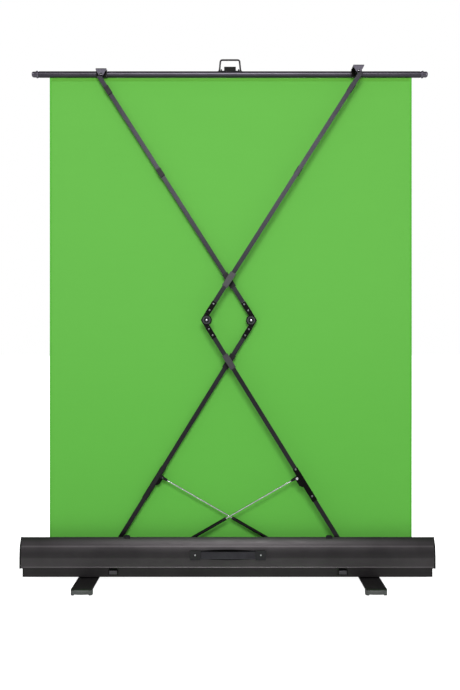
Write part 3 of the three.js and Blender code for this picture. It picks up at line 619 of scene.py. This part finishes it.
# for each folding pair, the side of its base pin and the Y of its arms' middle
PAIRS = {"outer": (1, -29 * MM), "inner": (-1, 9 * MM)}
ARM_DEPTH = 8 * MM
PIN_MIDDLE = 6 * MM  # the frame's pins lie about this X
BASE_X, BASE_Z = 521 * MM, 47 * MM
TOP_Z = 2050 * MM
ELBOW_X = 90 * MM
# an arm from pin to pin, with the panel pulled up: its rise, its length and its angle
LINK_RISE = (TOP_Z - BASE_Z) / 2
LINK = math.hypot(LINK_RISE, BASE_X + ELBOW_X)
OPEN = math.atan2(LINK_RISE, BASE_X + ELBOW_X)
# from a pin to its tube's centre line
BASE_OFFSET, ELBOW_OFFSET, TOP_OFFSET = 5 * MM, 11.5 * MM, 11 * MM
STRUT_FOOT_X, STRUT_FOOT_Z = 335 * MM, 61 * MM
STRUT_ALONG, STRUT_OFFSET = 440 * MM, 22.2 * MM  # the strut's bolt, along and off the lower arm
STRUT_Y = {"outer": -16.6 * MM, "inner": -3.4 * MM}
CYLINDER_LENGTH = 372 * MM
CHANNEL_RIVETS = (348 * MM, 474 * MM)
# from the elbow's pin: where a knuckle's rivets sit, and the two ends of its cover
KNUCKLE_RIVETS = {"lower": (36 * MM, 65 * MM), "upper": (40 * MM, 70 * MM)}
KNUCKLE_COVERS = {"lower": (78.5 * MM, 25.5 * MM), "upper": (25.5 * MM, 80.5 * MM)}


class Arm:
    """An arm's own frame: along its pin line from its first pin, and off it."""

    def __init__(self, origin, angle, turn, first_offset, last_offset, y):
        self.origin = origin
        self.along = (math.cos(angle), math.sin(angle))
        self.off = (-math.sin(angle) * turn, math.cos(angle) * turn)
        self.offsets = (first_offset, last_offset)
        self.y = y

    def at(self, along, off, y):
        """The point so far along the pin line and so far off it."""
        x = self.origin[0] + along * self.along[0] + off * self.off[0]
        z = self.origin[1] + along * self.along[1] + off * self.off[1]
        return Vector((PIN_MIDDLE + x, y, z))

    def middle(self, along):
        """How far the tube's centre line is off the pin line."""
        first, last = self.offsets
        return first + (last - first) * along / LINK

    def on_tube(self, along, y):
        """A point on the tube's centre line."""
        return self.at(along, self.middle(along), y)


def make_arms(side, y):
    """The lower and the upper arm of one pair, with the panel pulled up."""
    tilt = side * (math.pi / 2 - OPEN)
    base = (side * BASE_X, BASE_Z)
    elbow = (-side * ELBOW_X, BASE_Z + LINK_RISE)
    lower = Arm(base, math.pi / 2 + tilt, side, BASE_OFFSET, ELBOW_OFFSET, y)
    upper = Arm(elbow, math.pi / 2 - tilt, side, ELBOW_OFFSET, -TOP_OFFSET, y)
    return lower, upper


def from_elbow(part, distance):
    """A distance from the elbow's pin, as a place along the lower or the upper arm."""
    return LINK - distance if part == "lower" else distance


# ---------------------------------------------------------------- finishes of the CAD nodes
PAIR_NAMES = ("outer", "inner")
dress(["rear_cover"], case_metal, 1.2 * MM, edge_highlight_metal, 28)
dress(["front_cover"], front_metal, 1.2 * MM, edge_highlight_metal, 28)
dress(["base_tray"], tray_metal_painted_shade, 0.8 * MM)
dress(["top_bar_tube", "roller_tube"], bar_metal, 0.5 * MM)
dress(["foot_left", "foot_right"], foot_metal, 1.0 * MM)
dress([f"{pair}_{part}_arm" for pair in PAIR_NAMES for part in ("lower", "upper")],
      arm_metal, 1.3 * MM)
dress(["end_cap_left", "end_cap_right",
       "roller_bearing_left", "roller_bearing_right"], black_plastic, 0.7 * MM)
dress(["bar_end_left", "bar_end_right"], stub_metal, 0.6 * MM)
dress(["handle_end_left", "handle_end_right"], handle_plastic, 1.4 * MM)
dress([f"outer_{part}_sleeve" for part in ("lower", "upper")], sleeve_plastic, 0.6 * MM)
dress([f"inner_{part}_sleeve" for part in ("lower", "upper")]
      + [f"{pair}_{part}_clip" for pair in PAIR_NAMES for part in ("low", "high")],
      black_plastic, 0.6 * MM)
dress([f"{pair}_{part}_knuckle" for pair in PAIR_NAMES for part in ("lower", "upper")],
      black_steel, 0.6 * MM, steel_edge_highlight)
dress([f"{pair}_{part}" for pair in PAIR_NAMES
       for part in ("strut_bracket", "strut_channel", "base_bracket")],
      black_steel, 0.4 * MM)
dress(["outer_strut_cylinder", "inner_strut_cylinder"], gloss_steel, 0.4 * MM)
dress(["bar_bracket_left", "bar_bracket_right", "bail_plate", "latch_keeper_left",
       "latch_keeper_right"], black_steel, 0.4 * MM, steel_edge_highlight)
dress(["latch_tab_left", "latch_tab_right"], latch_metal, 0.4 * MM)
dress(["ridge_bumper_left", "ridge_bumper_right"], black_rubber, 0.8 * MM)
dress(["outer_strut_rod", "inner_strut_rod"], rod_steel, 0.3 * MM)
dress(["outer_elbow_pin", "inner_elbow_pin"], washer_steel, 0.4 * MM)
dress(["bracket_pin_left", "bracket_pin_right"], black_steel, 0.4 * MM)
dress(["outer_strut_bolt"], black_steel, 0.5 * MM, steel_edge_highlight)
dress(["foot_pivot_left", "foot_pivot_right"], bright_steel, 0.5 * MM)


# ---------------------------------------------------------------- fabric
SHEET_THICK = 0.7 * MM
SHEET_Y = (SHEET_LOW.y + SHEET_HIGH.y) / 2
SHEET_BOTTOM, SHEET_TOP = SHEET_LOW.z, SHEET_HIGH.z
BILLOW, PULL = 2.2, 0.7  # mm that the fabric's wide and narrow waves stand off its plane


def sheet_y(x, z):
    """Where the stretched fabric lies: slow billows that die away at its held edges."""
    up = (z - SHEET_BOTTOM) / (SHEET_TOP - SHEET_BOTTOM)
    held = math.sqrt(max(0.0, math.sin(math.pi * min(max(up, 0), 1))))
    broad = noise.noise(Vector((x * 1.6 + 3, z * 0.9, 0.4))) * BILLOW
    drawn = noise.noise(Vector((x * 7.0, z * 0.8 + 5, 2.1))) * PULL
    return SHEET_Y + (broad + drawn) * held * MM


def cloth_band(name, x_range, z_range, cells, thickness, material):
    """A strip of the sheet's surface with both faces and closed edges."""
    mesh = bmesh.new()
    (x0, x1), (z0, z1) = x_range, z_range
    across, high = cells
    faces = []
    for lift in (-thickness / 2, thickness / 2):
        rows = []
        for row in range(high + 1):
            z = z0 + (z1 - z0) * row / high
            xs = [x0 + (x1 - x0) * column / across for column in range(across + 1)]
            rows.append([mesh.verts.new((x, sheet_y(x, z) + lift, z)) for x in xs])
        faces.append(rows)
    near, far = faces
    for rows in faces:
        for row in range(high):
            for column in range(across):
                mesh.faces.new((rows[row][column], rows[row][column + 1],
                                rows[row + 1][column + 1], rows[row + 1][column]))
    rim = ([(row, 0) for row in range(high)] + [(high, column) for column in range(across)]
           + [(row, across) for row in range(high, 0, -1)]
           + [(0, column) for column in range(across, 0, -1)])
    for (row, column), (next_row, next_column) in zip(rim, rim[1:] + rim[:1]):
        mesh.faces.new((near[row][column], near[next_row][next_column],
                        far[next_row][next_column], far[row][column]))
    made = piece_from(name, mesh, material)
    made.data.set_sharp_from_angle(angle=math.radians(50))
    return made


def sew(mesh, start, end, lift, pitch=4.2 * MM, length=3.0 * MM, radius=0.32 * MM):
    """A row of stitches on the fabric, from start to end as (x, z)."""
    run = Vector((end[0] - start[0], 0, end[1] - start[1]))
    along = run.normalized()
    for index in range(int(run.length / pitch)):
        middle = Vector((start[0], 0, start[1])) + along * (index + 0.5) * pitch
        middle.y = sheet_y(middle.x, middle.z) + lift
        outline = [(0, -length / 2), (radius, -length / 2 + radius),
                   (radius, length / 2 - radius), (0, length / 2)]
        lathe(mesh, middle, along, outline, 6)


def make_fabric():
    """The sheet with its hems and stitches, which all squash as the panel goes down."""
    x0, x1 = SHEET_LOW.x, SHEET_HIGH.x
    z0, z1 = SHEET_BOTTOM, SHEET_TOP
    sheet = cloth_band("fabric", (x0, x1), (z0, z1), (110, 150), SHEET_THICK, green_cloth)
    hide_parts("fabric_sheet")
    hem = 7 * MM
    top_hem = 14 * MM
    double = SHEET_THICK + 0.8 * MM
    bands = [
        cloth_band("fabric_hem_left", (x0 - 0.2 * MM, x0 + hem), (z0, z1), (4, 220), double,
                   hem_cloth),
        cloth_band("fabric_hem_right", (x1 - hem, x1 + 0.2 * MM), (z0, z1), (4, 220), double,
                   hem_cloth),
        cloth_band("fabric_hem_top", (x0 + hem, x1 - hem), (z1 - top_hem, z1), (110, 3), double,
                   top_cloth_painted_shadow),
    ]
    mesh = bmesh.new()
    for lift in (-double / 2 - 0.1 * MM, double / 2 + 0.1 * MM):
        for x in (x0 + hem * 0.7, x1 - hem * 0.7):
            sew(mesh, (x, z0), (x, z1 - top_hem - 1 * MM), lift)
        seam = z1 - top_hem + 3 * MM
        sew(mesh, (x0 + hem, seam), (x1 - hem, seam), lift)
    stitches = piece_from("fabric_stitches", mesh, thread)
    for piece in (sheet, *bands, stitches):
        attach(piece, body_of("fabric_sheet"))
        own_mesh(piece)


def make_roll():
    """The spare fabric wound on the roller, slightly uneven along its length."""
    middle = (ROLLER_LOW + ROLLER_HIGH) / 2
    half = (SHEET_HIGH.x - SHEET_LOW.x) / 2
    steps = 60
    core, shoulder, wound, uneven = 15.95 * MM, 16.4 * MM, 16.7 * MM, 0.2 * MM
    skin = []
    for step in range(steps + 1):
        along = -half + 2 * half * step / steps
        skin.append((wound + noise.noise(Vector((along * 6, 1, 1))) * uneven, along))
    outline = [(core, -half), (shoulder, -half), *skin, (shoulder, half), (core, half)]
    turned("fabric_roll", [middle], X, outline, green_cloth, "roller", 40,
           closed=True)


# ---------------------------------------------------------------- case
def make_case_details():
    """Beads along the covers' feet, and the screws of the end caps."""
    for name, low, high, outward in [("rear", CASE_LOW, CASE_HIGH, -1),
                                     ("front", FRONT_LOW, FRONT_HIGH, 1)]:
        face = low.y if outward < 0 else high.y
        bulge = [(0, 0), (0.7, 0.5), (1.0, 1.6), (0.9, 2.9), (0.4, 3.7), (0, 4.0), (-1.0, 2.0)]
        loops = []
        for x in (low.x + 0.4 * MM, high.x - 0.4 * MM):
            loops.append([Vector((x, face + outward * out * MM, low.z + 0.2 * MM + up * MM))
                          for out, up in bulge])
        # both beads take the rear cover's painted highlight along its foot
        lofted(f"{name}_cover_bead", loops, case_metal, body_of(f"{name}_cover"))
    for side, name in SIDES:
        low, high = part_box(f"end_cap_{name}")
        face = low.x if side < 0 else high.x
        inset = 12 * MM
        spots = [(low.y + inset, 76 * MM), (low.y + inset, 128 * MM),
                 (high.y - inset, 76 * MM), (high.y - inset, 122 * MM)]
        places = [Vector((face - side * 0.2 * MM, y, z)) for y, z in spots]
        turned(f"end_cap_screws_{name}", places, (side, 0, 0), pan_head(3.6 * MM, 0.2 * MM),
               black_steel, body_of(f"end_cap_{name}"))


WALL_LEAN = 4.5 * MM
HANDLE_X = (GRIP_LOW.x + GRIP_HIGH.x) / 2
HANDLE_SCREW = 130 * MM  # from the handle's middle
SHADOW_PLATE_HALF = 108.4 * MM


def wall_y(z):
    """Where the rear cover's outside wall is at a height: straight, then leaning in."""
    waist, shoulder, _ = REAR_HEIGHTS
    share = (z / MM - waist) / (shoulder - waist)
    return CASE_LOW.y + WALL_LEAN * min(1.0, max(0.0, share))


def make_grip():
    """The bowed carrying strap, with fine ridges along it."""
    low, high = GRIP_LOW, GRIP_HIGH
    half = (high.x - low.x) / 2
    straight = 8 * MM
    bow = 6 * MM
    deep = 4.8 * MM
    ridges = 11
    loops = []
    steps = 56
    for step in range(steps + 1):
        off = -half + 2 * half * step / steps
        share = min(1.0, abs(off) / (half - straight))
        front = low.y + bow * share * share
        loop = []
        for index in range(4 * ridges + 1):
            up = index / (4 * ridges)
            groove = 0.45 * MM * (1 - math.cos(2 * math.pi * up * ridges))
            edge = 1.6 * MM * (abs(2 * up - 1) ** 10)
            z = low.z + (high.z - low.z) * up
            loop.append(Vector((HANDLE_X + off, front + groove + edge, z)))
        for up in (1.0, 0.75, 0.25, 0.0):
            z = low.z + (high.z - low.z) * up
            back = front + deep - 0.6 * MM * (2 * up - 1) ** 2
            loop.append(Vector((HANDLE_X + off, back, z)))
        loops.append(loop)
    grip = lofted("carry_strap", loops, grip_plastic, body_of("handle_grip"))
    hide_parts("handle_grip")


def make_handle_shadow_plate():
    """A black plate behind the strap that paints the shadow in the gap between strap and wall:
    taller in its middle, and following the wall's lean.
    """
    steps, levels = 24, 8
    loops = []
    for step in range(steps + 1):
        share = 2 * step / steps - 1
        x = HANDLE_X + share * SHADOW_PLATE_HALF
        tall = (15.5 + 4.5 * math.cos(share * math.pi / 2)) * MM
        loop = []
        for level in range(levels + 1):
            z = (GRIP_LOW.z + GRIP_HIGH.z) / 2 + tall * (2 * level / levels - 1)
            loop.append(Vector((x, wall_y(z) - 0.9 * MM, z)))
        for z in (loop[-1].z, loop[0].z):
            loop.append(Vector((x, wall_y(z) - 0.15 * MM, z)))
        loops.append(loop)
    lofted("handle_shadow_plate", loops, painted_shade_black, body_of("handle_grip"))


def make_handle_screws():
    """A bright screw in each of the handle's end blocks."""
    for side, name in SIDES:
        end_low, end_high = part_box(f"handle_end_{name}")
        z = (end_low.z + end_high.z) / 2 + 2 * MM
        place = Vector((HANDLE_X + side * HANDLE_SCREW, end_low.y, z))
        turned(f"handle_screw_{name}", [place], (0, -1, 0), pan_head(3.4 * MM, 0.9 * MM),
               bright_steel, body_of(f"handle_end_{name}"))


def make_foot_toes():
    """A pale moulded toe over both rounded ends of each foot."""
    bow, nose, tall = 5 * MM, 9 * MM, 22 * MM
    side_gap, runner, corner = 1 * MM, 12 * MM, 7 * MM
    proud, skirt = 0.45 * MM, 2.5 * MM
    steps, levels = 24, 8
    for name in ("left", "right"):
        low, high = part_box(f"foot_{name}")
        centre = (low.x + high.x) / 2
        half = (high.x - low.x) / 2
        for end, part in ((-1, "rear"), (1, "front")):
            tip = low.y if end < 0 else high.y
            loops = []
            for step in range(steps + 1):
                off = (side_gap - half) + 2 * (half - side_gap) * step / steps
                share = abs(off) / (half - corner)
                back = bow * 0.8 * share * share if share < 1 else bow * (0.8 + 3 * (share - 1))
                on_runner = abs(off) > half - runner
                bottom = (0.4 if on_runner else 4.4) * MM
                loop = []
                for level in range(levels + 1):
                    z = bottom + (tall - 1.2 * MM - bottom) * level / levels
                    over = max(0.0, z - (tall - nose))
                    lean = 13 * MM * (1 - math.sqrt(max(0.0, 1 - (over / nose) ** 2)))
                    depth = max(back, lean * 0.9)
                    loop.append(Vector((centre + off, tip - end * (depth - proud), low.z + z)))
                loop += [Vector((centre + off, tip - end * (depth + skirt), low.z + z)),
                         Vector((centre + off, tip - end * (back + skirt), low.z + bottom))]
                loops.append(loop)
            lofted(f"foot_toe_{name}_{part}", loops, toe_plastic, f"foot_{name}")


def make_latch_hooks():
    """The black hooks that hang from the rear cover's foot over each latch's slot, in a near-black
    that paints the slot's shade.
    """
    for name in ("left", "right"):
        low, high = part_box(f"latch_keeper_{name}")
        middle = (low.x + high.x) / 2
        y0 = low.y + 1.4 * MM
        top = 61.0
        section = [(0, 52.4), (0.9, 51.9), (1.8, 52.4), (1.8, top), (0, top)]
        loops = []
        for off in (-15.4, -14.6, 14.6, 15.4):
            rise = 1.2 if abs(off) > 15 else 0
            loops.append([Vector((middle + off * MM, y0 + out * MM, min(z + rise, top) * MM))
                          for out, z in section])
        lofted(f"latch_hook_{name}", loops, painted_shade_black, body_of(f"latch_keeper_{name}"))


# ---------------------------------------------------------------- bar
def make_bail():
    """The round wire of the pull handle, bent to a trapezium with eased corners."""
    low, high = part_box("bail_wire")
    radius = 3.5 * MM
    middle, y = (low.x + high.x) / 2, (low.y + high.y) / 2
    foot, top = low.z + 3 * MM, high.z - radius
    wide, narrow = 43 * MM, 38.7 * MM
    ease = 8 * MM
    sides = 16
    path = []
    for side in (-1, 1):
        leg = Vector((middle + side * wide, y, foot))
        corner = Vector((middle + side * narrow, y, top))
        before = corner + (leg - corner).normalized() * ease
        after = corner - Vector((side * ease, 0, 0))
        bend = []
        for step in range(9):
            share = step / 8
            bend.append(before * (1 - share) ** 2 + corner * (2 * share * (1 - share))
                        + after * share ** 2)
        rise = [leg.lerp(before, step / 6) for step in range(6)]
        half = rise + bend
        path += half if side < 0 else half[::-1]
    loops = []
    for index, point in enumerate(path):
        ahead = path[min(index + 1, len(path) - 1)] - path[max(index - 1, 0)]
        across = Y.cross(ahead.normalized())
        loops.append([point + (across * math.cos(turn) + Y * math.sin(turn)) * radius
                      for turn in (2 * math.pi * step / sides for step in range(sides))])
    wire = lofted("bail_loop", loops, wire_steel, body_of("bail_wire"))
    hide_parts("bail_wire")
    eyes = [Vector((middle + side * wide - 3.4 * MM, y, foot)) for side in (-1, 1)]
    eye = [(0, 0), (3.8, 0), (4.3, 0.6), (4.3, 6.2), (3.8, 6.8), (0, 6.8)]
    turned("bail_eyes", eyes, X, in_mm(eye), wire_steel, body_of("bail_wire"), 24)


# a saddle's front plate, in mm from its middle and down from its top
PLATE_OUTLINE = ((-21.5, 0), (-21.5, 3.5), (-9.5, 25), (9.5, 25), (21.5, 3.5), (21.5, 0))


def make_bar_details():
    """Collars at the bar's ends, and the saddles' front plates and rivet heads."""
    bar_middle = (BAR_LOW + BAR_HIGH) / 2
    for side, name in SIDES:
        end = Vector((BAR_LOW.x if side < 0 else BAR_HIGH.x, bar_middle.y, bar_middle.z))
        body = body_of(f"bar_end_{name}")
        ring = [(11.0, -0.2), (14.5, -0.1), (14.9, 0.4), (14.9, 1.3), (14.5, 1.7), (11.0, 1.7)]
        rim = [(9.6, 20.6), (11.9, 20.7), (12.1, 21.3), (11.7, 22.2), (9.6, 22.4)]
        for part, outline in (("collar", ring), ("rim", rim)):
            turned(f"bar_{part}_{name}", [end], (side, 0, 0), in_mm(outline), ring_metal_painted_highlight, body,
                   36, closed=True)
        bracket_low, bracket_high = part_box(f"bar_bracket_{name}")
        pin_x = PIN_MIDDLE + side * BASE_X
        crown = bracket_high.z - 2.4 * MM
        front = bracket_low.y
        loops = []
        for out in (0.1, 0.9, 1.1):
            inset = 0.3 if out > 1 else 0
            loop = []
            for off, down in PLATE_OUTLINE:
                off -= math.copysign(inset, off)
                down += inset if down == 0 else -inset
                loop.append(Vector((pin_x + off * MM, front - out * MM, crown - down * MM)))
            loops.append(loop)
        plate = lofted(f"bracket_plate_{name}", loops, plate_metal,
                       body_of(f"bar_bracket_{name}"))
        plate.data.shade_flat()
        low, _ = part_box(f"bracket_pin_{name}")
        place = Vector((pin_x, low.y, TOP_Z))
        turned(f"bracket_rivet_{name}", [place], (0, -1, 0), dome(2.3 * MM, 0.9 * MM),
               bright_steel, body_of(f"bracket_pin_{name}"), 18)


# ---------------------------------------------------------------- frame
# the lug's lobe and its middle, in mm along the lower arm and off it
LUG_OUTLINE = ((446, 15), (443, 22.5), (437, 26.2), (430, 26.8), (424, 24.8),
               (420, 26.2), (412, 27.0), (404, 25.2), (399, 20.5), (397, 15))
LUG_MIDDLE = (421.5, 20.5)


def make_lug(pair, side, arm):
    """The rounded second lobe of the strut's lug, below its bolt."""
    low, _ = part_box(f"{pair}_strut_channel")
    y0 = low.y + 0.4 * MM if side > 0 else arm.y - ARM_DEPTH / 2 - 2.0 * MM
    y1 = y0 + 2.2 * MM
    eased = 0.5 * MM
    middle, middle_off = LUG_MIDDLE
    loops = []
    for y, inset in ((y0, 0.6), (y0 + eased, 0), (y1 - eased, 0), (y1, 0.6)):
        loop = []
        for along, off in LUG_OUTLINE:
            keep = 1 - inset / math.hypot(along - middle, off - middle_off)
            loop.append(arm.at((middle + (along - middle) * keep) * MM,
                               (middle_off + (off - middle_off) * keep) * MM, y))
        loops.append(loop)
    lofted(f"{pair}_strut_lug", loops, black_steel, body_of(f"{pair}_strut_channel"))


def make_knuckle_covers(pair, lower, upper):
    """The folded plates that wrap each knuckle's root, a little wider than the tube."""
    near = lower.y - ARM_DEPTH / 2
    wide, inside = 10.3 * MM, 8.9 * MM
    front, skin, back = near - 0.9 * MM, near - 0.05 * MM, near + ARM_DEPTH + 0.3 * MM
    section = [(-wide, front), (wide, front), (wide, back), (inside, back), (inside, skin),
               (-inside, skin), (-inside, back), (-wide, back)]
    for arm, part in ((lower, "lower"), (upper, "upper")):
        loops = []
        for distance in KNUCKLE_COVERS[part]:
            along = from_elbow(part, distance)
            loops.append([arm.at(along, arm.middle(along) + off, y) for off, y in section])
        cover = lofted(f"{pair}_{part}_knuckle_cover", loops, black_steel,
                       body_of(f"{pair}_{part}_knuckle"))
        smooth_edges(cover, 0.45 * MM, steel_edge_highlight)


def make_pair_details(pair):
    """The rivets, seals, covers and strut fittings of one folding pair."""
    side, y = PAIRS[pair]
    lower, upper = make_arms(side, y)
    near = y - ARM_DEPTH / 2
    far = y + ARM_DEPTH / 2
    head = near - 1.2 * MM
    for arm, part in ((lower, "lower"), (upper, "upper")):
        spots = [from_elbow(part, distance) for distance in KNUCKLE_RIVETS[part]]
        places = [arm.on_tube(along, head) for along in spots]
        turned(f"{pair}_{part}_rivets", places, (0, -1, 0), dome(3.9 * MM, 1.3 * MM),
               rivet_steel, body_of(f"{pair}_{part}_knuckle"), 20)

    elbow = lower.at(LINK, 0, near)
    body = body_of(f"{pair}_elbow_pin")
    seal = [(5.0, 1.2), (5.0, 3.2), (5.6, 3.5), (9.6, 3.5), (10.6, 3.0), (10.8, 1.9), (10.8, 1.2)]
    turned(f"{pair}_elbow_seal", [elbow], (0, -1, 0), in_mm(seal), black_rubber, body, 36,
           closed=True)
    turned(f"{pair}_elbow_head", [elbow + Vector((0, -3.4 * MM, 0))], (0, -1, 0),
           dome(4.7 * MM, 1.4 * MM), bright_steel, body, 24)

    foot = Vector((PIN_MIDDLE - side * STRUT_FOOT_X, STRUT_Y[pair], STRUT_FOOT_Z))
    bolt = lower.at(STRUT_ALONG, STRUT_OFFSET, STRUT_Y[pair])
    along = (bolt - foot).normalized()
    gland = [(3.5, -13), (6.5, -13), (6.7, -12.4), (6.7, -4), (6.3, -1.5), (5.2, 0.6), (3.5, 0.9)]
    turned(f"{pair}_strut_gland", [foot + along * CYLINDER_LENGTH], along, in_mm(gland),
           black_plastic, body_of(f"{pair}_strut_cylinder"), 28, closed=True)
    fitting = [(3.1, -26), (4.7, -25.5), (5.0, -23), (5.6, -13), (6.8, -6), (3.1, -5)]
    rod_body = body_of(f"{pair}_strut_rod")
    turned(f"{pair}_strut_fitting", [bolt], along, in_mm(fitting), black_plastic, rod_body, 24,
           closed=True)
    eye = [(0, -3.7), (6.6, -3.7), (7.3, -3.1), (7.3, 3.1), (6.6, 3.7), (0, 3.7)]
    turned(f"{pair}_strut_eye", [bolt], (0, 1, 0), in_mm(eye), black_plastic, rod_body, 24)

    if side > 0:
        low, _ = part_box("outer_strut_bolt")
        place = Vector((bolt.x, low.y + 0.1 * MM, bolt.z))
        turned("outer_strut_bolt_head", [place], (0, -1, 0), pan_head(5.6 * MM, 1.6 * MM, 0.3),
               bright_steel, body_of("outer_strut_bolt"))
    make_lug(pair, side, lower)
    make_knuckle_covers(pair, lower, upper)

    outward = -1 if side > 0 else 1
    skin = near - 3.3 * MM if side > 0 else far + 2.1 * MM
    places = [lower.on_tube(spot, skin) for spot in CHANNEL_RIVETS]
    turned(f"{pair}_channel_rivets", places, (0, outward, 0), dome(4.2 * MM, 1.4 * MM),
           rivet_steel, body_of(f"{pair}_strut_channel"), 20)


make_fabric()
make_roll()
make_case_details()
make_grip()
make_handle_shadow_plate()
make_handle_screws()
make_foot_toes()
make_latch_hooks()
make_bail()
make_bar_details()
for pair in PAIR_NAMES:
    make_pair_details(pair)
